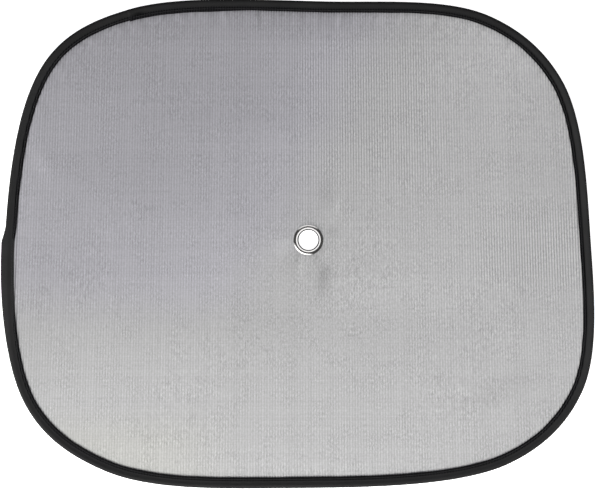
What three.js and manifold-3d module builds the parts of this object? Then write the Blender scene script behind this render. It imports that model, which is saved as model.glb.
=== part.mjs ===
// A flat, springy sunshade for the side window of a car.
// A ribbed mesh sheet is held taut by a loop of spring wire. The wire runs in the fold of a black tape,
// which is sewn on all round the sheet's edge, and one metal eyelet takes the neck of a suction cup.
// Lengths are millimetres. The shade lies on its back: X runs to the right and Y up as it is seen from
// the front, and Z points out of its front. The origin is on the plane it lies on, under its middle.
import * as THREE from "three";
import { mergeVertices } from "three/addons/utils/BufferGeometryUtils.js";
import Module from "manifold-3d";

// Outline of the rim, without the bulge over the wire's joint
const width = 437.4;
const height = 362.6;
// Points of the outline, anticlockwise from the right, as shares of the half width and half height
const rimShape = [
  [0.986, 0.034],
  [0.891, 0.667],
  [0.639, 0.935],
  [0.084, 0.992],
  [-0.572, 0.961],
  [-0.843, 0.775],
  [-0.977, 0.296],
  [-0.935, -0.642],
  [-0.658, -0.929],
  [-0.039, -0.999],
  [0.714, -0.897],
  [0.96, -0.6],
];
const stationSpacing = 11; // between two sections of what runs round the rim
const curveSteps = 1500; // in which the curve is measured

// Mesh sheet
const sheetThickness = 0.5; // over the crests of its ribs
const valleyThickness = 0.24;
const ribPitch = 2;
const sheetSetback = 0.7; // from the sleeve over the wire to the sheet's cut edge, inside the tape
const pressGap = 0.05; // between the sheet and what is sewn or pressed on it

// Spring wire, and the sleeve that joins its ends
const wireDiameter = 2;
const wireClearance = 0.2; // inside the tape's fold
const wireSides = 8;
const strandGap = 0.1; // between the wire's two ends, side by side in the sleeve
const strandTail = 1; // of each end, past the sleeve
const sleeveLength = 18;
const sleeveWall = 0.35;
const sleeveGap = 0.15; // round the wires inside the sleeve, and round the sleeve inside the tape
const sleeveArcPoints = 6; // on each round side of the sleeve
const jointBearing = 176.5; // degrees anticlockwise from +X, where the bulge over the joint begins
const jointRise = 12; // length in which the tape climbs onto the sleeve
const jointFade = 109; // length in which the doubled wire falls back to its line
const jointPull = 1.1; // by which the thick joint draws the tape's inner edge outwards

// Binding tape
const tapeThickness = 0.3;
const noseFlatHalf = 0.5; // half height of the fold's outermost face, inside
const noseRound = 0.8; // width of the fold's rounded shoulder
const crownPast = 0.4; // length of the fold's flat crown, past the middle of the wire
const casingSlope = 2.7; // width from the wire to where the tape lies flat on the sheet
const legWidth = 3.1; // of the flat part, which is sewn to the sheet
const lapBearing = 126.4; // of the cut end that shows, where the tape laps over its own beginning
const lapLength = 62;
const lapRise = 24; // length in which the upper layer climbs onto the lower one
const lapInset = 0.9; // by which the upper layer's edge lies further in
const lapStep = 0.1; // length of the step at the cut end

// Seam, with one thread on the front and one on the back
const seamSet = 1.6; // from the casing's edge
const threadWidth = 0.4;
const threadHeight = 0.2;

// Eyelet and its washer, pressed from sheet metal
const eyeletX = 6.75; // from the middle of the outline
const eyeletY = 2.95;
const holeRadius = 7.3;
const eyeletWall = 0.4;
const flangeWidth = 3.8; // from the hole to the flange's rim
const domeRise = 0.68; // of the flange's hollow underside
const crownSet = 0.95; // from the hole to the flat ring on the crown
const crownFlat = 0.8; // width of that ring
const flareWidth = 1.55; // from the hole to the edge of the barrel's rolled end
const barrelClearance = 0.15; // round the barrel, to the sheet and to the washer
const washerWidth = 3.6; // from the hole to the washer's rim
const washerWall = 0.35;
const washerDish = 0.28; // depth of its dish
const latheSegments = 40;

const sheetHalf = sheetThickness / 2;
const legHalf = sheetHalf + pressGap;
const wireRadius = wireDiameter / 2;
const wireInset = tapeThickness + wireClearance + wireRadius;
const strandStep = wireDiameter + strandGap;
const sleeveGrowth = sleeveGap + sleeveWall;
const sheetInset = wireInset + wireRadius + sleeveGrowth + sheetSetback;
const bulge = strandStep + sleeveGrowth;
const casingHalf = wireRadius + wireClearance;
const jointHalf = wireRadius + sleeveGrowth + sleeveGap;
const crownEnd = wireInset + crownPast;
const casingWidth = wireInset + wireRadius + casingSlope;
const bandWidth = casingWidth + legWidth;
const seamInset = casingWidth + seamSet;
const barrelRadius = holeRadius + eyeletWall;
const barrelHole = barrelRadius + barrelClearance;
const flareRadius = holeRadius + flareWidth;

const wasm = await Module();
wasm.setup();

const rim = makeRim();
const rimLength = rim.getLength();
const jointStart = alongRim(jointBearing);
const sleeveStart = jointStart + jointRise;
const wireStart = sleeveStart - strandTail;
const wireEnd = sleeveStart + sleeveLength + strandTail;
const lapEnd = alongRim(lapBearing);
const lapStart = lapEnd - lapLength;

// The rim line: a closed smooth curve through the outline's points, fitted to the width and height
function makeRim() {
  const closedCurve = (points) => {
    const curve = new THREE.CatmullRomCurve3(points, true, "centripetal");
    curve.arcLengthDivisions = curveSteps;
    return curve;
  };
  const half = new THREE.Vector3(width / 2, height / 2, 0);
  const points = rimShape.map(([x, y]) => new THREE.Vector3(x, y, 0).multiply(half));
  const box = new THREE.Box3().setFromPoints(closedCurve(points).getPoints(curveSteps));
  const middle = box.getCenter(new THREE.Vector3());
  const size = box.getSize(new THREE.Vector3());
  const fit = new THREE.Vector3(width / size.x, height / size.y, 1);
  return closedCurve(points.map((p) => p.sub(middle).multiply(fit)));
}

// The length round the rim line, from its first point, at a bearing in degrees seen from the middle
function alongRim(bearing) {
  const aim = new THREE.Vector2(1, 0).rotateAround(new THREE.Vector2(), THREE.MathUtils.degToRad(bearing));
  const points = rim.getSpacedPoints(Math.round(rimLength));
  const facing = points.map((p) => (p.x * aim.x + p.y * aim.y) / p.length());
  return (facing.indexOf(Math.max(...facing)) / Math.round(rimLength)) * rimLength;
}

// A point at a length round the rim, a distance in from the rim line and a height over the sheet's middle
function rimPoint(length, inset, lift) {
  const share = THREE.MathUtils.euclideanModulo(length / rimLength, 1);
  const on = rim.getPointAt(share);
  const along = rim.getTangentAt(share);
  return new THREE.Vector3(on.x - along.y * inset, on.y + along.x * inset, lift);
}

// How much of the joint's bulge there is, from 0 to 1: it climbs to a corner and falls back slowly
function jointShare(length) {
  const past = THREE.MathUtils.euclideanModulo(length - jointStart, rimLength);
  const climbed = Math.min(past / jointRise, 1) ** 1.3;
  const fadeStart = jointRise + sleeveLength + strandTail;
  return climbed * (1 - THREE.MathUtils.smoothstep(past, fadeStart, fadeStart + jointFade));
}

// How much of the tape's upper layer there is, from 0 to 1: it climbs slowly and ends in a step
function lapShare(length) {
  const past = THREE.MathUtils.euclideanModulo(length - lapStart, rimLength);
  return past <= lapLength ? THREE.MathUtils.smoothstep(past, 0, lapRise) : 0;
}

// The way round the rim between two lengths, the shorter way
function apart(a, b) {
  const past = THREE.MathUtils.euclideanModulo(a - b, rimLength);
  return Math.min(past, rimLength - past);
}

// Lengths round the rim at which the sections stand: evenly, and closer at the joint and the lap
function rimStations() {
  const steps = (from, to, count) =>
    Array.from({ length: count + 1 }, (_, i) => from + ((to - from) * i) / count);
  const special = [
    ...steps(jointStart, sleeveStart, 4),
    ...steps(wireEnd, wireEnd + jointFade, 10),
    ...steps(lapStart, lapStart + lapRise, 4),
    lapEnd,
    lapEnd + lapStep,
  ].map((length) => THREE.MathUtils.euclideanModulo(length, rimLength));
  const even = steps(0, rimLength, Math.round(rimLength / stationSpacing)).slice(0, -1);
  const clear = even.filter((a) => special.every((b) => apart(a, b) > stationSpacing / 3));
  return [...clear, ...special].sort((a, b) => a - b);
}

// A solid through rings of points. Each ring runs anticlockwise, seen against the way the rings follow.
function loft(rings, closed) {
  const count = rings[0].length;
  const positions = rings.flat().flatMap((p) => [p.x, p.y, p.z]);
  const index = [];
  const spans = closed ? rings.length : rings.length - 1;
  for (let i = 0; i < spans; i++) {
    const here = i * count;
    const next = ((i + 1) % rings.length) * count;
    for (let j = 0; j < count; j++) {
      const k = (j + 1) % count;
      index.push(here + j, here + k, next + k, here + j, next + k, next + j);
    }
  }
  if (!closed) {
    const last = (rings.length - 1) * count;
    for (let j = 1; j < count - 1; j++) {
      index.push(0, j + 1, j);
      index.push(last, last + j, last + j + 1);
    }
  }
  const geometry = new THREE.BufferGeometry();
  geometry.setAttribute("position", new THREE.Float32BufferAttribute(positions, 3));
  geometry.setIndex(index);
  return geometry;
}

function solidOf(geometry) {
  const plain = geometry.clone();
  plain.deleteAttribute("normal");
  plain.deleteAttribute("uv");
  const merged = mergeVertices(plain);
  const vertProperties = merged.attributes.position.array;
  return new wasm.Manifold(new wasm.Mesh({ numProp: 3, vertProperties, triVerts: merged.index.array }));
}

function geometryOf(solid) {
  const mesh = solid.getMesh();
  const geometry = new THREE.BufferGeometry();
  geometry.setAttribute("position", new THREE.BufferAttribute(mesh.vertProperties, 3));
  geometry.setIndex(new THREE.BufferAttribute(mesh.triVerts, 1));
  return geometry;
}

// A solid of revolution round Z. Its profile runs anticlockwise, as radius and height.
function turned(profile) {
  const points = [...profile, profile[0]].map(([radius, lift]) => new THREE.Vector2(radius, lift));
  return new THREE.LatheGeometry(points, latheSegments).rotateX(Math.PI / 2);
}

// Mesh sheet: a ribbed slab, cut to the outline and pierced for the eyelet
function meshSheet() {
  const ribs = Math.ceil(width / ribPitch);
  const front = [];
  for (let i = 0; i <= 2 * ribs; i++) {
    const half = (i % 2 ? sheetThickness : valleyThickness) / 2;
    front.push(new THREE.Vector2((i - ribs) * (ribPitch / 2), half));
  }
  const back = front.map((p) => new THREE.Vector2(p.x, -p.y)).reverse();
  const slab = new THREE.ExtrudeGeometry(new THREE.Shape([...front, ...back]), {
    depth: height,
    bevelEnabled: false,
  });
  slab.rotateX(Math.PI / 2).translate(0, height / 2, 0);

  const edge = rimStations().map((length) => rimPoint(length, sheetInset, 0));
  const outline = new THREE.Shape(edge.map((p) => new THREE.Vector2(p.x, p.y)));
  const cutter = new THREE.ExtrudeGeometry(outline, { depth: 2 * sheetThickness, bevelEnabled: false });
  cutter.translate(0, 0, -sheetThickness);

  const punch = new THREE.CylinderGeometry(barrelHole, barrelHole, 2 * sheetThickness, latheSegments);
  punch.rotateX(Math.PI / 2).translate(eyeletX, eyeletY, 0);
  return geometryOf(solidOf(slab).intersect(solidOf(cutter)).subtract(solidOf(punch)));
}

// Spring wire: one open loop, whose first end lies outside its last one where the sleeve holds them
function springWire() {
  const between = rimStations()
    .map((length) => wireEnd + THREE.MathUtils.euclideanModulo(length - wireEnd, rimLength))
    .filter((length) => length > wireEnd + 1 && length < wireStart + rimLength - 1)
    .sort((a, b) => a - b);
  const lengths = [wireStart, wireEnd, ...between, wireStart + rimLength, wireEnd + rimLength];
  const sections = lengths.map((length) => {
    const leaving = length < wireStart + rimLength / 2;
    const outward = leaving ? strandStep * jointShare(Math.max(length, sleeveStart)) : 0;
    return Array.from({ length: wireSides }, (_, i) => {
      const angle = ((i + 0.5) / wireSides) * 2 * Math.PI;
      const inset = wireInset - outward + wireRadius * Math.cos(angle);
      return rimPoint(length, inset, wireRadius * Math.sin(angle));
    });
  });
  return loft(sections, false);
}

// Joining sleeve: a flat oval tube round both ends of the wire
function joiningSleeve() {
  const oval = (grow) => {
    const path = new THREE.Path();
    path.absarc(strandStep / 2, 0, wireRadius + grow, -Math.PI / 2, Math.PI / 2);
    path.absarc(-strandStep / 2, 0, wireRadius + grow, Math.PI / 2, (3 * Math.PI) / 2);
    return path.getPoints(sleeveArcPoints);
  };
  const section = new THREE.Shape(oval(sleeveGrowth));
  section.holes.push(new THREE.Path(oval(sleeveGap).reverse()));
  const tube = new THREE.ExtrudeGeometry(section, { depth: sleeveLength, bevelEnabled: false });
  const inset = wireInset - strandStep / 2;
  const start = rimPoint(sleeveStart, inset, 0);
  const along = rimPoint(sleeveStart + sleeveLength, inset, 0).sub(start).normalize();
  const up = new THREE.Vector3(0, 0, 1);
  const inward = new THREE.Vector3().crossVectors(up, along);
  return tube.applyMatrix4(new THREE.Matrix4().makeBasis(inward, up, along).setPosition(start));
}

// Binding tape: folded over the wire and the sheet's edge, and lapped over its own beginning
function bindingTape() {
  const mirrored = (points) => points.map(([inset, lift]) => [inset, -lift]).reverse();
  const sections = rimStations().map((length) => {
    const joint = jointShare(length);
    const lap = lapShare(length);
    const outer = tapeThickness * (1 + lap);
    const inside = THREE.MathUtils.lerp(casingHalf, jointHalf, joint);
    const edge = bandWidth + lapInset * lap - jointPull * joint;
    const fold = tapeThickness - bulge * joint;
    const skin = fold - outer;
    const front = [
      [edge, legHalf + outer],
      [casingWidth, legHalf + outer],
      [crownEnd, inside + outer],
      [skin + noseRound, inside + outer],
      [skin, noseFlatHalf + tapeThickness / 3],
    ];
    const cavity = [
      [fold, noseFlatHalf],
      [fold + noseRound - tapeThickness / 2, inside],
      [crownEnd, inside],
      [casingWidth - tapeThickness / 3, legHalf],
      [edge, legHalf],
    ];
    const outline = [...front, ...mirrored(front), ...mirrored(cavity), ...cavity];
    return outline.map(([inset, lift]) => rimPoint(length, inset, lift));
  });
  return loft(sections, true);
}

// Seam thread on one face of the tape: side is 1 for the front and -1 for the back
function seamThread(side) {
  const halfWidth = threadWidth / 2;
  const sections = rimStations().map((length) => {
    const middle = seamInset - jointPull * jointShare(length);
    const low = legHalf + tapeThickness * (1 + lapShare(length)) + pressGap;
    const high = low + threadHeight;
    const corners = [
      [middle - halfWidth, low],
      [middle + halfWidth, low],
      [middle + halfWidth, high],
      [middle - halfWidth, high],
    ].map(([inset, lift]) => rimPoint(length, inset, side * lift));
    return side > 0 ? corners : corners.reverse();
  });
  return loft(sections, true);
}

// Eyelet: a domed flange on the front, a barrel through the sheet, and an end rolled out at the back
function eyelet() {
  const flangeRadius = holeRadius + flangeWidth;
  const crownIn = holeRadius + crownSet;
  const crownOut = crownIn + crownFlat;
  const underCrown = legHalf + domeRise;
  const crown = underCrown + eyeletWall;
  const underRoll = -legHalf - washerWall - washerDish - pressGap;
  const roll = underRoll - eyeletWall;
  return turned([
    [holeRadius, underRoll],
    [holeRadius + eyeletWall / 2, roll + eyeletWall / 4],
    [barrelRadius + eyeletWall / 2, roll],
    [flareRadius, roll],
    [flareRadius, underRoll - eyeletWall / 2],
    [barrelRadius, underRoll],
    [barrelRadius, legHalf],
    [crownIn, underCrown],
    [crownOut, underCrown],
    [flangeRadius - eyeletWall, legHalf],
    [flangeRadius, legHalf],
    [flangeRadius - eyeletWall / 3, legHalf + eyeletWall],
    [(flangeRadius + crownOut) / 2, (legHalf + crown) / 2 + (3 * eyeletWall) / 4],
    [crownOut, crown],
    [crownIn, crown],
    [barrelRadius, crown - eyeletWall / 2],
    [holeRadius, crown - 1.5 * eyeletWall],
  ]);
}

// Washer: a dished ring behind the sheet, held by the eyelet's rolled end
function eyeletWasher() {
  const washerRadius = holeRadius + washerWidth;
  const back = -legHalf - washerWall - washerDish;
  return turned([
    [barrelHole, back],
    [flareRadius, back],
    [washerRadius, -legHalf - washerWall],
    [washerRadius, -legHalf],
    [washerRadius - washerWall, -legHalf],
    [flareRadius, back + washerWall],
    [barrelHole, back + washerWall],
  ]);
}

const silverMesh = new THREE.MeshStandardMaterial({ color: 0xb4b4b6, roughness: 0.55, metalness: 0.25 });
const blackTape = new THREE.MeshStandardMaterial({ color: 0x242425, roughness: 0.8, metalness: 0 });
const blackThread = new THREE.MeshStandardMaterial({ color: 0x161617, roughness: 0.7, metalness: 0 });
const springSteel = new THREE.MeshStandardMaterial({ color: 0x8c8e90, roughness: 0.35, metalness: 1 });
const crimpedSteel = new THREE.MeshStandardMaterial({ color: 0xa7a8a9, roughness: 0.45, metalness: 1 });
const nickelPlate = new THREE.MeshStandardMaterial({ color: 0xd6d4ce, roughness: 0.18, metalness: 1 });

const shade = new THREE.Group();

function addPiece(name, geometry, material) {
  const piece = new THREE.Mesh(geometry, material);
  piece.name = name;
  shade.add(piece);
  return piece;
}

addPiece("mesh_panel", meshSheet(), silverMesh);
addPiece("frame_wire", springWire(), springSteel);
addPiece("wire_sleeve", joiningSleeve(), crimpedSteel);
addPiece("edge_binding", bindingTape(), blackTape);
addPiece("needle_thread", seamThread(1), blackThread);
addPiece("bobbin_thread", seamThread(-1), blackThread);
addPiece("eyelet", eyelet(), nickelPlate).position.set(eyeletX, eyeletY, 0);
addPiece("eyelet_washer", eyeletWasher(), nickelPlate).position.set(eyeletX, eyeletY, 0);

// The whole is set on the plane it lies on, with its middle over the origin
const reach = new THREE.Box3().setFromObject(shade);
const centre = reach.getCenter(new THREE.Vector3());
shade.position.set(-centre.x, -centre.y, -reach.min.z);

export default shade;
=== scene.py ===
import math

import bpy
import numpy as np
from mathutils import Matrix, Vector


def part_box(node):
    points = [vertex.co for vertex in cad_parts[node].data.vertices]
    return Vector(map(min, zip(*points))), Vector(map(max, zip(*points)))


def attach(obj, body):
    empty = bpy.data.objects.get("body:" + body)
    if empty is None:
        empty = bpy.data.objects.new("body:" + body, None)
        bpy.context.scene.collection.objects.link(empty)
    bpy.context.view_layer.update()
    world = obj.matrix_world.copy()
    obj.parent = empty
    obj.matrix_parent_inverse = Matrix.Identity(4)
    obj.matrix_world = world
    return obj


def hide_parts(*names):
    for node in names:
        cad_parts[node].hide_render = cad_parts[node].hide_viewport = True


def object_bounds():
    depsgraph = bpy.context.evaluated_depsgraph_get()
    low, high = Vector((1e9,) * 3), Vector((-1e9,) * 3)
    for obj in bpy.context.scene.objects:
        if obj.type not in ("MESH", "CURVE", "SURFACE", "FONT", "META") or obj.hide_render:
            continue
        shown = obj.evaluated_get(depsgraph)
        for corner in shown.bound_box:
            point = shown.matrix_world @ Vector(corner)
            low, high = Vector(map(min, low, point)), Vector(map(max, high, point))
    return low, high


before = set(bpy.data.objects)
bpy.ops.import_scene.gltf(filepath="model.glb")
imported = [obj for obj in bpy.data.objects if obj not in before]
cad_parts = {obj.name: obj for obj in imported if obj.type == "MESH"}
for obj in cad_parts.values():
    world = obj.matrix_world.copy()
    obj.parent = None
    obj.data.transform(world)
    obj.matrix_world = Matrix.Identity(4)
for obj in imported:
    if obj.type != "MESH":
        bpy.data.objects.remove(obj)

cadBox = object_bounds()
mm = 0.001

# What the picture shows of the shade, which fixes the camera
view = {
    "imageWidth": 595,  # pixels
    "shadeWidth": 594.2,  # pixels, from the joint's bulge to the right edge
    "shadeMiddle": (0.05, 0.54),  # pixels from the image's middle, to the right and up
    "distance": 2.6,
    "sensor": 36,
}

studio = {
    "floor": (0.93, 0.93, 0.93),
    "floorGlow": 0.8,
    "floorHalf": 12,
    "floorDrop": 0.2 * mm,  # below the solids, as the cloth reaches a trace under them
    "walls": 0.07,  # brightness between the horizon and the ceiling
    "horizon": 0.9,  # how much brighter it is from the horizon down
    "horizonFade": (0.05, 0.16),
    "ceiling": 1.25,
    "ceilingEdge": (0.84, 0.89),
    "overhead": (-0.04, 0.1, 0.99),  # the way to the middle of the ceiling
    # low glows for the metal to mirror: the way to each, and its brightness
    "glows": [((-0.5, -0.87), 2.9), ((-0.05, 1.0), 1.0)],
    "glowEdge": (0.6, 0.85),
    "glowTop": (0.5, 0.62),
    "sky": (1.0, 0.99, 1.025),
    # place, width, height, power and colour of the soft box, which is aimed at the shade
    "softBox": ((-0.3, -0.91, 0.38), 1.5, 0.56, 36, (1.0, 1.0, 0.97)),
}


def aimed(thing, target):
    thing.rotation_euler = (Vector(target) - thing.location).to_track_quat("-Z", "Y").to_euler()


def makeCamera():
    low, high = cadBox
    metresPerPixel = (high.x - low.x) / view["shadeWidth"]
    middle = (low + high) / 2
    right, up = view["shadeMiddle"]
    camera = bpy.data.objects.new("camera", bpy.data.cameras.new("camera"))
    camera.data.sensor_fit = "HORIZONTAL"
    camera.data.sensor_width = view["sensor"]
    camera.data.lens = view["sensor"] * view["distance"] / (view["imageWidth"] * metresPerPixel)
    camera.data.clip_end = 50
    camera.location = (
        middle.x - right * metresPerPixel,
        middle.y - up * metresPerPixel,
        high.z + view["distance"],
    )
    bpy.context.scene.collection.objects.link(camera)
    bpy.context.scene.camera = camera


def makeSoftBox(place, width, height, power, colour):
    light = bpy.data.lights.new("softBox", "AREA")
    light.shape = "ELLIPSE"
    light.size = width
    light.size_y = height
    light.energy = power
    light.color = colour
    lamp = bpy.data.objects.new("softBox", light)
    lamp.location = place
    lamp.visible_glossy = False
    aimed(lamp, (0, 0, 0))
    bpy.context.scene.collection.objects.link(lamp)


makeCamera()
makeSoftBox(*studio["softBox"])
bpy.context.scene.view_settings.view_transform = "Standard"
print("camera and soft box are set")


class Value:  # a socket that takes part in shader maths
    def __init__(self, shader, socket):
        self.shader = shader
        self.socket = socket

    def __add__(self, other):
        return self.shader.maths("ADD", self, other)

    def __sub__(self, other):
        return self.shader.maths("SUBTRACT", self, other)

    def __rsub__(self, other):
        return self.shader.maths("SUBTRACT", other, self)

    def __mul__(self, other):
        return self.shader.maths("MULTIPLY", self, other)

    def __truediv__(self, other):
        return self.shader.maths("DIVIDE", self, other)

    def __rtruediv__(self, other):
        return self.shader.maths("DIVIDE", other, self)

    __radd__ = __add__
    __rmul__ = __mul__


class Shader:  # the nodes of a material, or of the world
    def __init__(self, name, made=bpy.data.materials, surface="Principled BSDF"):
        self.material = made.new(name)
        self.material.use_nodes = True
        self.tree = self.material.node_tree
        self.surface = self.tree.nodes[surface]

    def plug(self, socket, value):
        if isinstance(value, Value):
            self.tree.links.new(value.socket, socket)
        elif socket.type == "RGBA":
            socket.default_value = (*value, 1)
        else:
            socket.default_value = value

    def node(self, kind, settings=(), sockets=(), output=0):
        made = self.tree.nodes.new("ShaderNode" + kind)
        for name, value in dict(settings).items():
            setattr(made, name, value)
        for name, value in dict(sockets).items():
            self.plug(made.inputs[name], value)
        return Value(self, made.outputs[output])

    def set(self, **links):
        for name, value in links.items():
            self.plug(self.surface.inputs[name.replace("_", " ")], value)

    def maths(self, operation, *numbers):
        return self.node("Math", {"operation": operation}, dict(enumerate(numbers)))

    def wave(self, turns):  # from 0 to 1 and back once for each whole turn
        return 0.5 - 0.5 * self.maths("COSINE", turns * math.tau)

    def ramp(self, value, low, high):
        settings = {"interpolation_type": "SMOOTHSTEP"}
        return self.node("MapRange", settings, {"Value": value, "From Min": low, "From Max": high})

    def band(self, value, low, high, fade):  # 1 between low and high, with soft edges
        return self.ramp(value, low - fade, low + fade) - self.ramp(value, high - fade, high + fade)

    def patch(self, x, y, left, right, low, high, fadeX, fadeY):  # 1 inside a soft rectangle
        return self.band(x, left, right, fadeX) * self.band(y, low, high, fadeY)

    def random(self, number):
        return self.node("TexWhiteNoise", {"noise_dimensions": "1D"}, {"W": number})

    def mix(self, factor, first, second):
        sockets = {0: factor, 6: first, 7: second}
        return self.node("Mix", {"data_type": "RGBA", "clamp_factor": True}, sockets, 2)

    def scaled(self, colour, amount):
        return self.node("VectorMath", {"operation": "SCALE"}, {0: colour, "Scale": amount})

    def times(self, vector, other):
        return self.node("VectorMath", {"operation": "MULTIPLY"}, {0: vector, 1: other})

    def attribute(self, name):
        return self.node("Attribute", {"attribute_name": name}, output="Fac")

    def places(self, kind="Object"):  # in the piece's own metres, or ways out into the world
        self.coordinates = self.node("TexCoord", output=kind)
        parts = self.node("SeparateXYZ", sockets={0: self.coordinates})
        return [Value(self, output) for output in parts.socket.node.outputs]

    def noise(self, scale, detail=2, stretch=(1, 1, 1)):
        place = self.times(self.coordinates, stretch)
        sockets = {"Vector": place, "Scale": scale, "Detail": detail}
        return self.node("TexNoise", sockets=sockets)

    def bump(self, height, distance, strength):
        sockets = {"Height": height, "Distance": distance, "Strength": strength}
        self.set(Normal=self.node("Bump", sockets=sockets))


def makeSurroundings():  # dark walls between a bright ceiling and the horizon
    s = Shader("studio", bpy.data.worlds, "Background")
    x, y, z = s.places("Generated")
    light = studio["walls"] + studio["horizon"] * (1 - s.ramp(z, *studio["horizonFade"]))
    right, up, above = studio["overhead"]
    overhead = s.ramp(x * right + y * up + z * above, *studio["ceilingEdge"])
    light = light + studio["ceiling"] * overhead
    low = 1 - s.ramp(z, *studio["glowTop"])
    for (right, up), strength in studio["glows"]:
        light = light + strength * s.ramp(x * right + y * up, *studio["glowEdge"]) * low
    s.set(Strength=light, Color=studio["sky"])
    bpy.context.scene.world = s.material


def makeFloor():
    s = Shader("paleFloor")
    s.set(Roughness=0.7, Base_Color=studio["floor"], Specular_IOR_Level=0.2)
    s.set(Emission_Color=(1, 1, 1), Emission_Strength=studio["floorGlow"])
    far = studio["floorHalf"]
    corners = [(-far, -far, 0), (far, -far, 0), (far, far, 0), (-far, far, 0)]
    mesh = bpy.data.meshes.new("floor")
    mesh.from_pydata(corners, [], [(0, 1, 2, 3)])
    mesh.materials.append(s.material)
    floor = bpy.data.objects.new("floor", mesh)
    floor.location.z = -studio["floorDrop"]
    bpy.context.scene.collection.objects.link(floor)


makeSurroundings()
makeFloor()
print("surroundings and floor are made")

# The rim line, which everything that runs round the shade follows
rimSizes = {
    "width": 437.4 * mm,
    "height": 362.6 * mm,
    # anticlockwise from the right, as shares of the half width and half height
    "shape": [
        (0.986, 0.034), (0.891, 0.667), (0.639, 0.935), (0.084, 0.992),
        (-0.572, 0.961), (-0.843, 0.775), (-0.977, 0.296), (-0.935, -0.642),
        (-0.658, -0.929), (-0.039, -0.999), (0.714, -0.897), (0.96, -0.6),
    ],
    "jointBearing": 176.5,  # degrees anticlockwise from the right, where the wire's joint begins
    "jointRise": 12 * mm,
    "jointPower": 1.3,  # how sharply it climbs at the end of that
    "sleeveLength": 18 * mm,
    "strandTail": 1 * mm,
    "jointFade": 109 * mm,
    "jointPull": 1.1 * mm,  # by which the joint draws the tape's inner edge outwards
    "bulge": 2.6 * mm,
    "lapBearing": 126.4,  # of the tape's cut end
    "lapLength": 62 * mm,
}


def smoothLoop(points, steps=200):  # a centripetal spline through all the points
    before, ahead, after = (np.roll(points, k, axis=0) for k in (1, -1, -2))

    def gap(a, b):
        return np.sqrt(np.linalg.norm(b - a, axis=1, keepdims=True))

    d0, d1, d2 = gap(before, points), gap(points, ahead), gap(ahead, after)
    leaving = d1 * ((points - before) / d0 - (ahead - before) / (d0 + d1) + (ahead - points) / d1)
    arriving = d1 * ((ahead - points) / d1 - (after - points) / (d1 + d2) + (after - ahead) / d2)
    t = np.linspace(0, 1, steps, endpoint=False)[:, None, None]
    curve = (2 * t**3 - 3 * t**2 + 1) * points + (t**3 - 2 * t**2 + t) * leaving
    curve = curve + (3 * t**2 - 2 * t**3) * ahead + (t**3 - t**2) * arriving
    return curve.transpose(1, 0, 2).reshape(-1, 2)


def makeRim():
    half = np.array([rimSizes["width"], rimSizes["height"]]) / 2
    line = smoothLoop(np.array(rimSizes["shape"]) * half)
    low, high = line.min(axis=0), line.max(axis=0)
    line = (line - (low + high) / 2) * (2 * half / (high - low))
    boxLow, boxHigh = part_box("edge_binding")
    return line + np.array([boxHigh.x - half[0], (boxLow.y + boxHigh.y) / 2])


rimLine = makeRim()
rimRing = np.vstack([rimLine, rimLine[:1]])
rimSteps = np.concatenate([[0], np.cumsum(np.linalg.norm(np.diff(rimRing, axis=0), axis=1))])
rimLength = rimSteps[-1]
rimTangents = np.roll(rimLine, -1, axis=0) - np.roll(rimLine, 1, axis=0)
rimTangents /= np.linalg.norm(rimTangents, axis=1, keepdims=True)
rimTangents = np.vstack([rimTangents, rimTangents[:1]])
rimMiddle = (rimLine.min(axis=0) + rimLine.max(axis=0)) / 2


def rimAt(lengths, inset):  # points at lengths round the rim, at a distance in from the rim line
    share = np.mod(lengths, rimLength)
    x, y = (np.interp(share, rimSteps, rimRing[:, k]) for k in (0, 1))
    alongX, alongY = (np.interp(share, rimSteps, rimTangents[:, k]) for k in (0, 1))
    return x - alongY * inset, y + alongX * inset


def lengthAt(bearing):
    x, y = (rimLine - rimMiddle).T
    turn = np.mod(np.degrees(np.arctan2(y, x)) - bearing + 180, 360) - 180
    return rimSteps[np.abs(turn).argmin()]


def smooth(value, low, high):
    t = np.clip((value - low) / (high - low), 0, 1)
    return t * t * (3 - 2 * t)


jointStart = lengthAt(rimSizes["jointBearing"])
lapStart = lengthAt(rimSizes["lapBearing"]) - rimSizes["lapLength"]


# How much of the bulge over the joint there is: it climbs to a corner and falls back slowly
def jointShare(lengths):
    past = np.mod(lengths - jointStart, rimLength)
    fade = rimSizes["jointRise"] + rimSizes["sleeveLength"] + rimSizes["strandTail"]
    climbed = np.minimum(past / rimSizes["jointRise"], 1) ** rimSizes["jointPower"]
    return climbed * (1 - smooth(past, fade, fade + rimSizes["jointFade"]))


def ripple(lengths, wavelengths, seed):  # slow uneven waves
    turns = np.random.default_rng(seed).random(len(wavelengths))
    waves = (np.sin(math.tau * (lengths / w + t)) for w, t in zip(wavelengths, turns))
    return sum(waves) / len(turns)


def makePiece(name, points, faces, material, replaced, attributes=()):
    mesh = bpy.data.meshes.new(name)
    mesh.from_pydata(np.asarray(points).reshape(-1, 3).tolist(), [], faces)
    for key, values in dict(attributes).items():
        layer = mesh.attributes.new(key, "FLOAT", "POINT")
        layer.data.foreach_set("value", np.asarray(values, np.float32).ravel())
    mesh.shade_smooth()
    mesh.materials.append(material)
    piece = bpy.data.objects.new(name, mesh)
    bpy.context.scene.collection.objects.link(piece)
    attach(piece, "root")
    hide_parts(replaced)
    return piece


def tubeFaces(sections, around, closed=False):  # of a loft whose sections are closed rings
    spans = sections if closed else sections - 1
    i, j = np.meshgrid(np.arange(spans), np.arange(around), indexing="ij")
    here, there = i * around, (i + 1) % sections * around
    k = (j + 1) % around
    faces = np.stack([here + j, here + k, there + k, there + j], axis=-1).reshape(-1, 4).tolist()
    if not closed:
        last = (sections - 1) * around
        faces.append(list(range(around))[::-1])
        faces.append(list(range(last, last + around)))
    return faces


def centreOf(node):
    low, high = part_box(node)
    return (low + high) / 2


eyeletCentre = centreOf("eyelet")
sheetLevel = centreOf("mesh_panel").z  # of the sheet's middle plane

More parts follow.
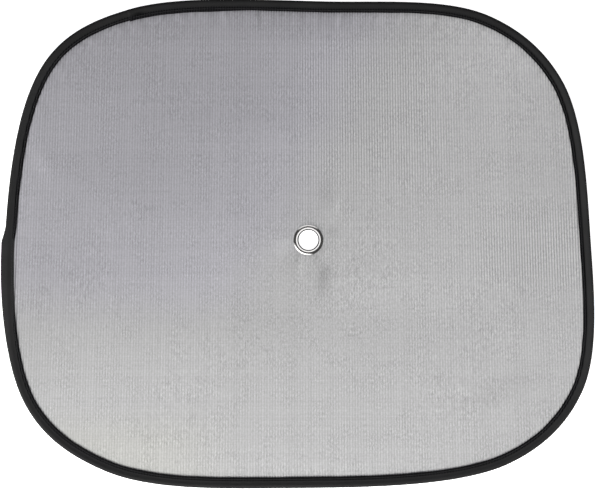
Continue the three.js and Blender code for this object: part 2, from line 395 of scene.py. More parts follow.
meshSizes = {
    "ribPitch": 2 * mm,
    "fan": 0.18,  # how much closer the ribs stand for each metre up the sheet
    "profile": [(0, 0), (0.22, 0.8), (0.5, 1), (0.78, 0.8)],  # across a rib: place and height
    "crest": 0.25 * mm,  # half thickness at a rib's crest
    "valley": 0.16 * mm,
    "inset": 3.7 * mm,  # from the rim line to the cut edge
    "edgePoints": 2400,
    "sideGap": 0.2 * mm,  # between the outermost columns of points and the cut edge
    "rows": 23,  # on each side of the eyelet
    "rowGap": 0.5 * mm,  # least height that they share
    "evenRows": 0.25,  # share of their spacing that is even, while the rest is closer at both ends
    "holeRadius": 7.85 * mm,
    "holeSides": 72,
    "gripped": (11 * mm, 14 * mm),  # from the eyelet's middle: flat up to here, and free from there
    "calmWidth": 14 * mm,  # beside the tape, where the sheet lies flat
    "billow": 0.35 * mm,
    "billowStart": (12 * mm, 60 * mm),  # from the eyelet's middle
    # lengths across and up of its waves, with their turn, and how far they are stretched
    "billowWaves": [(0.21, 0.13, 0.1), (-0.16, 0.11, 0.45), (0.09, -0.17, 0.7), (0.31, 0.05, 0.3)],
    "billowStretch": (0.9, 0.6),
    "puckerDepth": 0.12 * mm,
    "puckerWaves": [6.1 * mm, 8.3 * mm, 11.7 * mm, 17.9 * mm],
    "puckerReach": (2 * mm, 16 * mm),  # from the tape's inner edge
    # painted shading of the puckers, light and dark
    "puckerShading": 0.8,
    "lowPucker": 0.25,  # share of them that is left lower down
    "puckerRise": (0.06, 0.16),  # height up the sheet over which they grow
    "foldDepth": 0.35 * mm,
    # soft folds, as a place from the eyelet, bearing, half length, half width and strength
    "folds": [
        (12, -25, -98, 10, 4.8, -0.85),
        (9.5, -37, -98, 9, 4.5, -0.3),
        (-4.5, -18.5, -96, 7, 1.9, 0.6),
        (-8.6, -13.7, -120, 4.5, 2.6, -0.5),
        (12.6, -9.6, -50, 4.5, 2.2, 0.9),
        (8.8, -8.8, 45, 5, 1.6, -1.6),
        (19, 7.4, 25, 6, 3, -0.5),
        (-18, -3, 180, 9, 6, 0.4),
        (13, 35, 80, 10, 6, -0.35),
        (21, 24, 55, 9, 1.5, 0.45),
        (143, -110, 20, 24, 5, -0.5),
        (-197, 55, 118, 11, 5, 0.6),
    ],
}

meshLook = {
    "crest": (0.29, 0.29, 0.292),
    "valley": (0.224, 0.224, 0.227),
    "hole": (0.104, 0.104, 0.107),
    # the colour's shares for the painted shade and cool light at the upper left, where it is darker
    # and bluer, and for the painted warm light at the lower left
    "dim": (0.86, 0.86, 0.86),
    "coolLight": (1.0, 0.99, 1.055),
    "warmLight": (1.0, 1.0, 0.96),
    "dimEdge": (-0.2, 0.02),
    "coolSide": (-0.056, 0.018),
    "coolFoot": (-0.07, -0.02),
    "coolBlur": (0.05, 0.03),  # by which those last two edges wander
    "loopPitch": 1.9 * mm,
    "loopDrift": 3,  # loops by which neighbouring ribs get out of step
    "rowPitch": 0.95 * mm,
    # from where to where these are seen
    "grooveEdge": (0.0, 0.55),
    "loopEdge": (0.35, 0.9),
    "wornEdge": (0.35, 0.65),
    "tapeSide": (0.0085, 0.0098),
    "tapeShade": (0.008, 0.014),
    "topShade": (0.1, 0.16),
    "roughSide": (0.0, 0.1),
    # how much of the colour or tone each of these moves
    "valleyShare": (0.72, 1.1, 0.5),  # at the middle, for each metre up, and less where faint; the knit's own darker valleys with painted rib shading that grows up the sheet
    "holeShare": 0.35,
    "ribTone": 0.055,
    "rowTone": 0.05,
    "loopTone": 0.07,
    "threadTone": 0.55,
    # painted shading of the folds and puckers
    "foldShading": 0.28,
    "broadTone": 0.12,
    # painted shadow in the grooves beside the tape, and painted shade under the tape along the top
    "shadowBesideTape": 0.55,
    "shadowUnderTape": 0.2,
    # painted rib shading, stronger in the crisp and clear places, and painted shade where it is
    # faint
    "crispTone": 0.32,
    "clearTone": 0.2,
    "faintTone": 0.05,
    "grooveMean": 0.3,
    "wornLoops": (0.6, 0.8),  # everywhere, and more where the knit is open
    "wornThread": (0.6, 0.8, 0.4, 0.25),  # the same, and more where faint and at the right
    "slope": (0.3, 0.45, 2, 1.6),  # of the painted light: up, right, to the corners and to both sides
    # where the painted rib shading is crisp, clear and faint, and where painted warm light falls:
    # left, right, lower and upper edge of the place, and how far those edges fade
    "places": [
        (0.14, 1, -0.0305, 0.0245, 0.04, 0.0175),
        (0.0, 0.105, 0.044, 0.155, 0.022, 0.022),
        (-0.055, 0.075, -0.0875, -0.0025, 0.035, 0.0225),
        (-1, -0.07, -1, -0.1325, 0.04, 0.0175),
    ],
    # places with painted light or painted shade, with the amount
    "litAndShadedPlaces": [
        ((-1, 0.065, 0.1575, 1, 0.035, 0.0175), -0.13),
        ((0.105, 1, 0.125, 1, 0.025, 0.025), 0.09),
        ((0.155, 1, -0.06, 0.11, 0.015, 0.02), -0.04),
        ((0.03, 0.14, -0.045, 0.02, 0.02, 0.02), 0.045),
        ((-1, 0.15, -1, -0.075, 0.02, 0.02), 0.03),
        ((-0.11, 0.01, -0.06, 0.11, 0.025, 0.025), -0.025),
    ],
}


def meshMaterial():
    look = meshLook
    s = Shader("silverMesh")
    s.set(Sheen_Weight=0.1, Sheen_Roughness=0.4)
    x, y, _ = s.places()
    inside = s.attribute("inside")
    turns = x / (1 - meshSizes["fan"] * y) / meshSizes["ribPitch"]
    ribs = s.random(s.maths("FLOOR", turns))
    rows = s.random(s.maths("FLOOR", y / look["rowPitch"]))
    crest = s.wave(turns)
    groove = 1 - s.ramp(crest, *look["grooveEdge"])
    loops = s.wave(y / look["loopPitch"] + look["loopDrift"] * s.noise(250, 1))
    thread = s.noise(1000, 1, (1, 0.45, 1))
    broad = s.noise(12, 2, (0.3, 1, 1))
    worn = s.ramp(s.noise(60), *look["wornEdge"])  # the knit is more open in some places
    crisp, clear, faint, warmLight = (s.patch(x, y, *place) for place in look["places"])

    middle, rise, less = look["valleyShare"]
    colour = s.mix(groove * (middle + rise * y - less * faint), look["crest"], look["valley"])
    hole = groove * s.ramp(loops, *look["loopEdge"]) * worn
    colour = s.mix(hole * look["holeShare"], colour, look["hole"])
    # painted shade at the upper left, with painted cool light there and painted warm light at the
    # lower left
    bright = s.ramp(x * 1.1 - y, *look["dimEdge"])
    colour = s.times(colour, s.mix(bright, look["dim"], (1, 1, 1)))
    blurX, blurY = look["coolBlur"]
    coolLight = 1 - s.ramp(x - 0.5 * y + blurX * (broad - 0.5), *look["coolSide"])
    coolLight = coolLight * s.ramp(y + blurY * (broad - 0.5), *look["coolFoot"])
    colour = s.times(colour, s.mix(coolLight, (1, 1, 1), look["coolLight"]))
    colour = s.times(colour, s.mix(warmLight, (1, 1, 1), look["warmLight"]))

    # the knit's own random tones, to which painted light and shade are added below
    light = 1 + look["ribTone"] * (ribs - 0.5) + look["rowTone"] * (rows - 0.5)
    least, more = look["wornLoops"]
    light = light + look["loopTone"] * (loops - 0.5) * (least + more * worn)
    least, more, whereFaint, atRight = look["wornThread"]
    uneven = least + more * worn + whereFaint * faint + atRight * s.ramp(x, *look["roughSide"])
    light = light + look["threadTone"] * (thread - 0.5) * uneven
    # painted shading of the folds and puckers, and the knit's own broad blotches
    light = light + look["foldShading"] * s.attribute("foldShade") + look["broadTone"] * (broad - 0.5)
    # painted light that slopes across the sheet
    up, right, corner, side = look["slope"]
    light = light + up * y + x * (right + corner * y + side * x)
    # painted light and shade in places
    for place, amount in look["litAndShadedPlaces"]:
        light = light * (1 + amount * s.patch(x, y, *place))
    # painted shade where the ribs are faint, and painted rib shading where they are crisp or clear
    light = light * (1 - look["faintTone"] * faint)
    contrast = look["crispTone"] * crisp + look["clearTone"] * clear
    light = light * (1 - (groove - look["grooveMean"]) * contrast)
    # painted shadow in the grooves just inside the tape
    light = light * (1 - look["shadowBesideTape"] * groove * (1 - s.ramp(inside, *look["tapeSide"])))
    # painted shade under the tape along the top
    shade = s.ramp(y, *look["topShade"]) * (1 - s.ramp(inside, *look["tapeShade"]))
    light = light * (1 - look["shadowUnderTape"] * shade)
    s.set(Base_Color=s.scaled(colour, light), Roughness=0.5 + 0.2 * thread)
    s.bump(crest * 0.2 + loops * 0.4 + thread * 0.6, 0.00007, 0.5)
    return s.material


def foldsAt(x, y):  # signed strength of the soft folds
    dx, dy = (x - eyeletCentre.x) / mm, (y - eyeletCentre.y) / mm
    folds = np.zeros_like(x)
    for alongX, alongY, bearing, length, width, strength in meshSizes["folds"]:
        ux, uy = math.cos(math.radians(bearing)), math.sin(math.radians(bearing))
        ahead = (dx - alongX) * ux + (dy - alongY) * uy
        beside = (dx - alongX) * uy - (dy - alongY) * ux
        folds += strength * np.exp(-((ahead / length) ** 2) - (beside / width) ** 2)
    return folds


def edgeOf(x, y):  # how far inside the rim line a place is, and its length round the rim
    bearing = np.arctan2(y - rimMiddle[1], x - rimMiddle[0])
    reach = np.hypot(x - rimMiddle[0], y - rimMiddle[1])
    rimBearing = np.unwrap(np.arctan2(*(rimRing - rimMiddle).T[::-1]))
    rimReach = np.linalg.norm(rimRing - rimMiddle, axis=1)
    wrapped = rimBearing[0] + np.mod(bearing - rimBearing[0], math.tau)
    inside = np.interp(wrapped, rimBearing, rimReach) - reach
    return inside, np.interp(wrapped, rimBearing, rimSteps)


def sheetShape(x, y):  # height off the sheet's plane, painted shading of its folds and puckers, distance from the rim line
    sizes = meshSizes
    inside, along = edgeOf(x, y)
    edge = tapeSizes["bandWidth"]
    near, far = sizes["puckerReach"]
    puckers = ripple(along, sizes["puckerWaves"], 5)
    reach = smooth(inside, edge - near, edge + mm) * (1 - smooth(inside, edge + near, edge + far))
    puckers *= reach
    puckers *= sizes["lowPucker"] + (1 - sizes["lowPucker"]) * smooth(y, *sizes["puckerRise"])
    folds = foldsAt(x, y)
    across, up = sizes["billowStretch"]
    waves = sizes["billowWaves"]
    billow = sum(np.sin(math.tau * (x / a * across + y / b * up + t)) for a, b, t in waves)
    billow = billow / len(waves)
    away = np.hypot(x - eyeletCentre.x, y - eyeletCentre.y)
    lift = sizes["billow"] * billow * smooth(away, *sizes["billowStart"])
    lift = lift + sizes["foldDepth"] * folds
    lift = lift * smooth(inside, edge, edge + sizes["calmWidth"])
    free = smooth(away, *sizes["gripped"])
    lift = (lift + sizes["puckerDepth"] * puckers) * free
    return lift, folds + sizes["puckerShading"] * puckers, inside


def sheetGrid():  # columns follow the ribs, and rows run from the lower edge to the upper one
    sizes = meshSizes
    fan, pitch, sideGap, rowGap = (sizes[key] for key in ("fan", "ribPitch", "sideGap", "rowGap"))
    around = np.linspace(0, rimLength, sizes["edgePoints"], endpoint=False)
    edgeX, edgeY = rimAt(around, sizes["inset"])
    edgeU = edgeX / (1 - fan * edgeY)
    right, left = edgeU.argmax(), edgeU.argmin()
    start = np.roll(np.arange(len(edgeU)), -right)
    split = (left - right) % len(edgeU)
    top, bottom = start[: split + 1], start[split:]
    first, last = math.floor(edgeU.min() / pitch) - 1, math.ceil(edgeU.max() / pitch) + 1
    ribs = np.arange(first, last)
    places, heights = np.array(sizes["profile"]).T
    columns = ((ribs[:, None] + places) * pitch).ravel()
    heights = np.tile(heights, len(ribs))
    inside = (columns > edgeU.min() + sideGap) & (columns < edgeU.max() - sideGap)
    columns, heights = columns[inside], heights[inside]
    high = np.interp(columns, edgeU[top][::-1], edgeY[top][::-1])
    low = np.interp(columns, edgeU[bottom], edgeY[bottom])
    t = np.linspace(0, 1, sizes["rows"] + 1)
    even = sizes["evenRows"]
    share = (even * t + (1 - even) * t * t * (3 - 2 * t))[:, None]
    middle = np.clip(eyeletCentre.y, low + rowGap, high - rowGap)
    y = np.vstack([middle - share[::-1] * (middle - low), middle + share[1:] * (high - middle)])
    area = abs(np.sum(edgeX * np.roll(edgeY, -1) - edgeY * np.roll(edgeX, -1))) / 2
    return columns * (1 - fan * y), y, heights, (np.ptp(edgeX), np.ptp(edgeY)), area


def makeMeshSheet():
    x, y, heights, size, area = sheetGrid()
    half = meshSizes["valley"] + (meshSizes["crest"] - meshSizes["valley"]) * heights
    # folds here is the painted shading of the folds and puckers
    lift, folds, inside = sheetShape(x, y)
    front = np.stack([x, y, sheetLevel + lift + half], axis=-1)
    back = np.stack([x, y, sheetLevel + lift - half], axis=-1)
    count, across = x.shape
    i, j = np.meshgrid(np.arange(count - 1), np.arange(across - 1), indexing="ij")
    a = i * across + j
    upper = np.stack([a, a + 1, a + across + 1, a + across], axis=-1).reshape(-1, 4)
    under = count * across
    grid = np.arange(under).reshape(count, across)
    loop = np.concatenate([grid[0, :-1], grid[:-1, -1], grid[-1, :0:-1], grid[:0:-1, 0]])
    after = np.roll(loop, -1)
    wall = np.stack([after, loop, loop + under, after + under], axis=-1)
    faces = np.concatenate([upper, upper[:, ::-1] + under, wall]).tolist()
    sheet = makePiece(
        "ribbed_mesh",
        np.concatenate([front, back]),
        faces,
        meshMaterial(),
        "mesh_panel",
        {"foldShade": np.concatenate([folds, folds]), "inside": np.concatenate([inside, inside])},
    )
    cutHole(sheet, eyeletCentre, meshSizes["holeRadius"])
    return sheet, size, area


def cutHole(piece, centre, radius):
    bpy.ops.mesh.primitive_cylinder_add(
        vertices=meshSizes["holeSides"], radius=radius, depth=20 * mm, location=centre
    )
    punch = bpy.context.object
    cut = piece.modifiers.new("eyeletHole", "BOOLEAN")
    cut.operation = "DIFFERENCE"
    cut.solver = "MANIFOLD"
    cut.object = punch
    split = piece.modifiers.new("splitFaces", "TRIANGULATE")  # those that the cut leaves many-sided
    split.min_vertices = 5
    split.ngon_method = "BEAUTY"
    bpy.context.view_layer.update()
    evaluated = piece.evaluated_get(bpy.context.evaluated_depsgraph_get())
    mesh = bpy.data.meshes.new_from_object(evaluated)
    piece.modifiers.clear()
    old, piece.data = piece.data, mesh
    bpy.data.meshes.remove(old)
    bpy.data.objects.remove(punch)
    mesh.shade_smooth()


tapeSizes = {
    "thickness": 0.3 * mm,
    "wireInset": 1.5 * mm,
    "wireRadius": 1 * mm,
    "wireClearance": 0.2 * mm,
    "casingHalf": 1.2 * mm,  # inner half height over the wire
    "jointHalf": 1.65 * mm,  # inner half height over the sleeve
    "crownPast": 0.4 * mm,  # length of the flat crown past the wire's middle
    "noseRound": 1.5 * mm,  # width of the round at the outer edge
    "nosePower": 0.8,
    "casingWidth": 5.2 * mm,
    "evenSlope": 0.35,  # share of the slope beside the wire that is straight
    "legHalf": 0.3 * mm,  # inner half height where the tape grips the sheet
    "bandWidth": 8.3 * mm,
    "curl": 0.06 * mm,  # of the inner edge
    "finePoints": (9, 8, 9),  # outside, on the leg, the slope and the roll
    "coarsePoints": (3, 4, 5),  # and inside
    "seamInset": 6.8 * mm,
    "stitch": 3 * mm,
    "dimple": 0.1 * mm,
    "dimpleWidth": 0.55 * mm,
    "puff": 0.15,  # share of a dimple by which the tape swells between two of them
    "waver": 0.16 * mm,  # of the inner edge
    "waverWaves": [23 * mm, 41 * mm, 67 * mm],
    "sag": 0.07 * mm,  # of the roll
    "sagWaves": [9 * mm, 13 * mm, 21 * mm, 33 * mm],
    "lapGap": 0.03 * mm,
    "noseShare": 0.2,  # of the lower layer, by which the upper one stands out at the nose
    "lapInset": 0.8 * mm,
    "climb": 5 * mm,  # length in which the upper layer climbs onto the lower one
    "spreadStart": 30 * mm,  # length in which its inner edge moves in before that
    "hem": 5 * mm,  # turned under at the cut end
    "hemStep": 1 * mm,
    "hemShare": 0.8,  # of the tape's thickness, which the hem adds
    "pinch": 0.3 * mm,  # depth of the crease beside the hem
    "pinchPlace": (3 * mm, 5 * mm),  # before the hem, and in from the rim line
    "pinchSize": (4 * mm, 1.3 * mm),
}

tapeLook = {
    "roll": (0.0185, 0.0185, 0.0188),
    "leg": (0.0052, 0.0052, 0.0057),
    "weave": 0.62 * mm,
    "weftShare": 0.85,
    # from where to where these are seen
    "legEdge": (0.0049, 0.0058),
    "jointEdge": (0.6, 0.95),  # the leg is as light as the roll over the joint
    "upper": (0.1, 0.17),
    "lower": (-0.17, -0.12),
    "noseWidth": (0, 0.0022),
    # how much of the tone each of these moves
    "weaveTone": 0.2,
    "fuzzTone": 0.3,
    "blotchTone": 0.4,
    "ribShadingOnLeg": 1.3,  # painted shading of the sheet's ribs pressing through the leg
    # painted shade in the crease beside the hem
    "pinchShade": 0.6,
    "topLightAndShade": (0.85, 0.4),  # painted light on the leg there, and painted shade on the roll
    # painted shade on the nose along the bottom
    "lowerNoseShade": 0.5,
}


def tapeMaterial():
    look = tapeLook
    s = Shader("blackTape")
    s.set(Sheen_Weight=0.04, Sheen_Roughness=0.35, Specular_IOR_Level=0.06)
    x, y, _ = s.places()
    names = ("along", "across", "inset", "pinch", "joint")
    along, across, inset, pinch, joint = (s.attribute(name) for name in names)
    warp = s.wave((along + across) / look["weave"])
    weft = s.wave((along - across) / look["weave"])
    weave = s.maths("MAXIMUM", warp, weft * look["weftShare"])
    fuzz = s.noise(1400)
    leg = s.ramp(inset, *look["legEdge"]) * (1 - s.ramp(joint, *look["jointEdge"]))
    ribs = s.wave(x / (1 - meshSizes["fan"] * y) / meshSizes["ribPitch"])
    colour = s.mix(leg, look["roll"], look["leg"])
    tone = 1 - look["weaveTone"] + look["weaveTone"] * weave + look["fuzzTone"] * (fuzz - 0.5)
    tone = tone + look["blotchTone"] * (s.noise(45, 3) - 0.5)
    # painted shading of the sheet's ribs under the leg
    tone = tone + look["ribShadingOnLeg"] * leg * (ribs - 0.5)
    # painted light on the leg and painted shade on the roll along the top
    lighter, darker = look["topLightAndShade"]
    upper = s.ramp(y, *look["upper"]) * (lighter * leg - darker)
    # painted shade on the nose along the bottom
    lower = (1 - s.ramp(y, *look["lower"])) * (1 - s.ramp(inset, *look["noseWidth"]))
    # painted shade in the crease beside the hem
    tone = tone * (1 - look["pinchShade"] * pinch) * (1 + upper)
    tone = tone * (1 - look["lowerNoseShade"] * lower)
    s.set(Base_Color=s.scaled(colour, tone), Roughness=0.62 + 0.25 * (fuzz - 0.5) + 0.1 * leg)
    s.bump(weave + 0.6 * fuzz, 0.00007, 0.8)
    return s.material


# Insets and heights of half a section, from the inner edge to the nose
def tapeSection(lengths, layer, skin, spread, fine):
    sizes = tapeSizes
    joint = jointShare(lengths)[:, None]
    crown = sizes["casingHalf"] + (sizes["jointHalf"] - sizes["casingHalf"]) * joint + layer + skin
    leg = sizes["legHalf"] + layer + skin
    edge = sizes["bandWidth"] - rimSizes["jointPull"] * joint + sizes["lapInset"] * spread
    edge = edge + sizes["waver"] * ripple(lengths, sizes["waverWaves"], 3)[:, None]
    seam = sizes["seamInset"] - rimSizes["jointPull"] * joint
    shell = np.minimum(skin, sizes["thickness"]) + layer * sizes["noseShare"]
    nose = sizes["wireInset"] - rimSizes["bulge"] * joint
    nose = nose - sizes["wireRadius"] - sizes["wireClearance"] - shell
    innerCrown = sizes["wireInset"] + sizes["crownPast"]
    casing = sizes["casingWidth"] + 0 * joint
    stitched = np.arange(len(lengths)) % 2 == 0
    dips = np.where(stitched, 1.0, -sizes["puff"])[:, None] * sizes["dimple"] * fine
    onLeg, onSlope, onRoll = sizes["finePoints"] if fine else sizes["coarsePoints"]
    insets, lifts = [], []
    for share in np.linspace(0, 1, onLeg)[:-1]:
        inset = edge + (casing - edge) * share
        curl = sizes["curl"] * (share == 0) * fine
        insets.append(inset)
        lifts.append(leg + curl - dips * np.exp(-(((inset - seam) / sizes["dimpleWidth"]) ** 2)))
    even = sizes["evenSlope"]
    for share in np.linspace(0, 1, onSlope)[:-1]:
        ease = even * share + (1 - even) * share * share * (3 - 2 * share)
        insets.append(casing + (innerCrown - casing) * share)
        lifts.append(leg + (crown - leg) * ease)
    noseStart = nose + sizes["noseRound"]
    for share in np.linspace(0, 1, onRoll):  # a third of it flat, and the rest round
        turn = max(share * 3 - 1, 0) * math.pi / 4
        flat = innerCrown + (noseStart - innerCrown) * min(share * 3, 1)
        insets.append(flat - (noseStart - nose) * math.sin(turn))
        lifts.append(crown * math.cos(turn) ** sizes["nosePower"])
    return np.hstack(insets), np.hstack(lifts)


def makeBinding():
    sizes = tapeSizes
    total = rimLength + rimSizes["lapLength"]
    lengths = lapStart + np.linspace(0, total, 2 * round(total / sizes["stitch"]) + 1)
    over = lengths - (lapStart + rimLength)  # past the tape's own beginning
    folded = smooth(over, -sizes["climb"], 0)[:, None]
    layer = (sizes["thickness"] + sizes["lapGap"]) * folded
    spread = smooth(over, -sizes["spreadStart"], 0)[:, None]
    hemStart = rimSizes["lapLength"] - sizes["hem"]
    hem = smooth(over, hemStart, hemStart + sizes["hemStep"])
    skin = sizes["thickness"] * (1 + sizes["hemShare"] * hem)[:, None]
    sag = sizes["sag"] * ripple(lengths, sizes["sagWaves"], 9)[:, None]
    outerInset, outerLift = tapeSection(lengths, layer, skin, spread, True)
    innerInset, innerLift = tapeSection(lengths, layer, 0 * skin, spread, False)
    (before, inwards), (long, wide) = sizes["pinchPlace"], sizes["pinchSize"]
    pinch = np.exp(-(((over - hemStart + before) / long) ** 2))[:, None]
    pinch = pinch * np.exp(-(((outerInset - inwards) / wide) ** 2))
    crowned = np.clip((outerLift - sizes["legHalf"] - skin) / mm, 0, 1)
    outerLift = outerLift + sag * crowned - sizes["pinch"] * pinch * crowned
    # the nose's last point lies on the middle plane, so its mirror image is left out
    inset = np.hstack([outerInset, outerInset[:, -2::-1], innerInset, innerInset[:, -2::-1]])
    lift = np.hstack([outerLift, -outerLift[:, -2::-1], -innerLift, innerLift[:, -2::-1]])
    x, y = rimAt(lengths[:, None], inset)
    points = np.stack([x, y, sheetLevel + lift], axis=-1)
    steps = np.hypot(np.diff(inset, axis=1), np.diff(lift, axis=1))
    across = np.hstack([np.zeros((len(lengths), 1)), np.cumsum(steps, axis=1)])
    pinches = np.zeros_like(inset)
    pinches[:, : pinch.shape[1]] = pinch
    attributes = {
        "along": np.broadcast_to((lengths - lapStart)[:, None], inset.shape),
        "across": across,
        "inset": inset,
        "pinch": pinches,
        "joint": np.broadcast_to(jointShare(lengths)[:, None], inset.shape),
    }
    faces = tubeFaces(len(lengths), inset.shape[1])
    tape = makePiece(
        "binding_tape", points, faces, tapeMaterial(), "edge_binding", attributes
    )
    outside = 2 * outerInset.shape[1] - 2
    return tape, (float(total), float(np.median(across[:, outside])))


meshSheet, meshSize, meshArea = makeMeshSheet()
print("mesh sheet:", len(meshSheet.data.polygons), "faces")
bindingTape, tapeFlat = makeBinding()
print("binding tape:", len(bindingTape.data.polygons), "faces, flat", tapeFlat)

seamSizes = {
    "radius": 0.19 * mm,
    "around": 6,
    "perStitch": 6,
    "sink": 0.16 * mm,  # of the needle holes, below the tape
    "arch": 0.12 * mm,  # height of a stitch over the tape
    "archPower": 0.5,
    "lapStep": 4 * mm,  # length in which it climbs onto the tape's second layer
    "drift": 0.1 * mm,
    "driftWaves": [31 * mm, 57 * mm],
    "lean": 0.05 * mm,  # of each stitch
    "plyPitch": 0.9 * mm,
    # painted shade and light along the twist of the plies
    "dark": (0.005, 0.005, 0.0055),
    "light": (0.018, 0.018, 0.0185),
}


def threadMaterial():
    s = Shader("blackThread")
    s.set(Sheen_Weight=0.1, Sheen_Roughness=0.3, Specular_IOR_Level=0.2)
    s.places()
    ply = s.wave(s.attribute("along") / seamSizes["plyPitch"] + s.attribute("around"))
    fuzz = s.noise(2500, 1)
    # painted shade and light along the twist of the plies
    colour = s.mix(ply, seamSizes["dark"], seamSizes["light"])
    s.set(Base_Color=s.scaled(colour, 0.7 + 0.6 * fuzz), Roughness=0.5 + 0.3 * fuzz)
    s.bump(ply, 0.00006, 0.8)
    return s.material


def makeSeam(name, side, material, replaced):  # side is 1 for the front and -1 for the back
    sizes = seamSizes
    count = round(rimLength / tapeSizes["stitch"]) * sizes["perStitch"]
    lengths = np.linspace(0, rimLength, count, endpoint=False)
    turns = np.arange(count) / sizes["perStitch"]
    past = np.mod(lengths - lapStart, rimLength)
    layers = 1 + (past < rimSizes["lapLength"]) * smooth(past, 0, sizes["lapStep"])
    surface = tapeSizes["legHalf"] + tapeSizes["thickness"] * layers
    rise = np.abs(np.sin(math.pi * turns)) ** sizes["archPower"]
    lift = surface - sizes["sink"] + (sizes["sink"] + sizes["arch"]) * rise
    inset = tapeSizes["seamInset"] - rimSizes["jointPull"] * jointShare(lengths)
    inset = inset + sizes["drift"] * ripple(lengths, sizes["driftWaves"], 21)
    inset = inset + sizes["lean"] * np.sin(math.tau * turns) * side
    around = np.arange(sizes["around"]) / sizes["around"]
    angles = around * math.tau * side
    x, y = rimAt(lengths[:, None], inset[:, None] + sizes["radius"] * np.cos(angles))
    height = lift[:, None] + sizes["radius"] * np.sin(angles)
    points = np.stack([x, y, sheetLevel + side * height], axis=-1)
    attributes = {
        "along": np.broadcast_to(lengths[:, None], x.shape),
        "around": np.broadcast_to(around, x.shape),
    }
    faces = tubeFaces(count, sizes["around"], closed=True)
    return makePiece(name, points, faces, material, replaced, attributes)


threadBlack = threadMaterial()
frontSeam = makeSeam("front_stitches", 1, threadBlack, "needle_thread")
backSeam = makeSeam("back_stitches", -1, threadBlack, "bobbin_thread")
print("seam:", len(frontSeam.data.polygons), "faces on each side")

eyeletSizes = {
    "segments": 144,
    "hole": 7.3 * mm,
    "wall": 0.4 * mm,
    "crownStart": 8.35 * mm,
    "crownEnd": 8.95 * mm,
    "crownRise": 0.02 * mm,  # of its middle
    "fillet": 0.9 * mm,  # depth of the round from the crown into the hole
    "underFillet": 0.3 * mm,
    "domeWidth": 1.4 * mm,  # from the crown to the lip
    "domeFall": 0.56 * mm,
    "domePower": 1.25,
    "domeThin": 0.1 * mm,  # by which the dome's wall thins towards the lip
    "lip": 11.1 * mm,
    "lipFoot": 0.3 * mm,  # from the lip's rim to where its upstand begins
    "lipRise": 0.2 * mm,
    "lipRound": (0.22 * mm, 0.14 * mm),
    "lipDrop": 0.05 * mm,
    "flare": 8.85 * mm,
    "flareRise": 0.8 * mm,
    "flareLand": 0.5 * mm,  # between the bend's middle and the flare's edge
}

washerSizes = {
    "hole": 7.85 * mm,
    "rim": 10.9 * mm,
    "wall": 0.35 * mm,
    "dish": (0.6 * mm, 0.3 * mm),  # round of the dish's edge
    "dishGap": 0.04 * mm,
    "foot": (0.6 * mm, 0.5 * mm),  # widths of the flat foot on the sheet, and behind it
    "footGap": 0.05 * mm,
    "rimRound": 0.12 * mm,
}

metalLook = {  # colour, roughness and grain of each metal
    "nickelPlate": ((0.82, 0.815, 0.78), 0.13, 2400),
    "springWire": ((0.42, 0.43, 0.44), 0.34, 3000),
    "sleeveSteel": ((0.55, 0.55, 0.55), 0.45, 1800),
}
metalWear = {
    "dull": 0.86,  # share of the colour where it is smeared
    "smears": 180,
    "scratchTone": 0.12,
    "scratchRough": 0.06,
    "boreShade": 0.9,  # painted shade, by which the inside of the hole is darker
}


def metalMaterial(name):
    colour, roughness, grain = metalLook[name]
    wear = metalWear
    s = Shader(name)
    s.set(Metallic=1.0)
    s.places()
    smear = s.noise(wear["smears"], 3)
    scratches = s.noise(grain, 2, (1, 1, 0.15))
    dull = [wear["dull"] * c for c in colour]
    tone = 0.94 + wear["scratchTone"] * scratches
    # painted shade inside the hole
    tone = tone * (1 - wear["boreShade"] * s.attribute("bore"))
    s.set(Base_Color=s.scaled(s.mix(smear, colour, dull), tone))
    rough = roughness * (0.75 + 0.5 * smear) + wear["scratchRough"] * (scratches - 0.5)
    s.set(Roughness=rough)
    s.bump(scratches, 0.000012, 0.4)
    return s.material


def turned(name, profile, material, replaced, dark=0):  # its first points can carry painted shade, as in a bore
    segments = eyeletSizes["segments"]
    radius, lift = np.array(profile).T
    angles = np.arange(segments)[:, None] / segments * math.tau
    x = eyeletCentre.x + np.cos(angles) * radius
    y = eyeletCentre.y + np.sin(angles) * radius
    points = np.stack([x, y, np.broadcast_to(lift, x.shape)], axis=-1)
    faces = tubeFaces(segments, len(profile), closed=True)
    shade = np.broadcast_to(np.arange(len(profile)) < dark, x.shape)
    return makePiece(name, points, faces, material, replaced, {"bore": shade})


def arc(middle, size, start, end, steps):
    turns = np.radians(np.linspace(start, end, steps))
    return [(middle[0] + size[0] * math.cos(t), middle[1] + size[1] * math.sin(t)) for t in turns]


def dome(level, fall, steps):  # from the crown out to the lip
    start, reach, power = (eyeletSizes[key] for key in ("crownEnd", "domeWidth", "domePower"))
    return [(start + reach * u, level - fall * u**power) for u in np.linspace(0, 1, steps)]


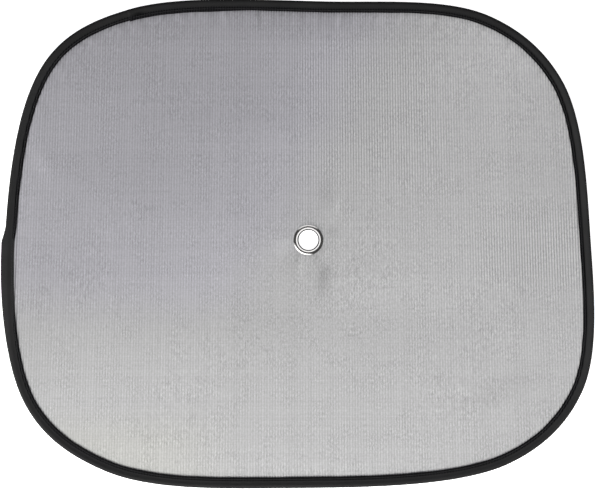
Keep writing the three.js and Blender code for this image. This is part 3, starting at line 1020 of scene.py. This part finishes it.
def makeEyelet(material):
    sizes = eyeletSizes
    low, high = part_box("eyelet")
    sheetTop = sheetLevel + tapeSizes["legHalf"]
    hole, wall, lip, rise = (sizes[key] for key in ("hole", "wall", "lip", "flareRise"))
    start, fillet, fall, under = (
        sizes[key] for key in ("crownStart", "fillet", "domeFall", "underFillet")
    )
    top = high.z - sizes["crownRise"]
    bend = sizes["flare"] - sizes["flareLand"] - hole
    lipWidth, lipHeight = sizes["lipRound"]
    roll = arc((hole + bend, low.z + rise), (bend, rise), 270, 180, 7)
    bore = arc((start, top - fillet), (start - hole, fillet), 180, 94, 9)
    skin = [
        *roll,
        *bore,
        ((start + sizes["crownEnd"]) / 2, high.z),
        *dome(top, fall, 12),
        (lip - sizes["lipFoot"], sheetTop + sizes["lipRise"]),
        *arc((lip - lipWidth, sheetTop - sizes["lipDrop"]), (lipWidth, lipHeight), 50, -40, 6),
    ]
    inner = [
        *dome(top - wall, fall + sizes["domeThin"], 7)[::-1],
        *arc((start, top - wall - under), (start - hole - wall, under), 90, 180, 5),
        *arc((hole + bend, low.z + rise), (bend - wall, rise - wall), 180, 270, 6),
        *arc((sizes["flare"] - wall / 2, low.z + wall / 2), (wall / 2, wall / 2), 70, -70, 5),
    ]
    # the bore's points get painted shade
    dark = len(roll) + len(bore) - 1
    return turned("eyelet_ring", skin + inner, material, "eyelet", dark)


def makeWasher(material):
    sizes = washerSizes
    low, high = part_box("eyelet_washer")
    bore, rim, thick, roundness = (sizes[key] for key in ("hole", "rim", "wall", "rimRound"))
    flare = eyeletSizes["flare"]
    dish, (foot, heel) = sizes["dish"], sizes["foot"]
    dished = [
        (bore, low.z + thick),
        (bore, low.z),
        *arc((flare, low.z + dish[1]), dish, 270, 320, 4),
        (rim - heel, high.z - thick - sizes["footGap"]),
        *arc((rim - roundness, high.z - thick / 2), (roundness, thick / 2), -60, 60, 5),
        (rim - foot, high.z),
        (flare, low.z + thick + sizes["dishGap"]),
    ]
    return turned("washer_ring", dished[::-1], material, "eyelet_washer")


nickel = metalMaterial("nickelPlate")
eyeletRing, washerRing = makeEyelet(nickel), makeWasher(nickel)
for node, metal in (("frame_wire", "springWire"), ("wire_sleeve", "sleeveSteel")):
    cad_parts[node].data.materials.clear()
    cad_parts[node].data.materials.append(metalMaterial(metal))
print("metal pieces are made")
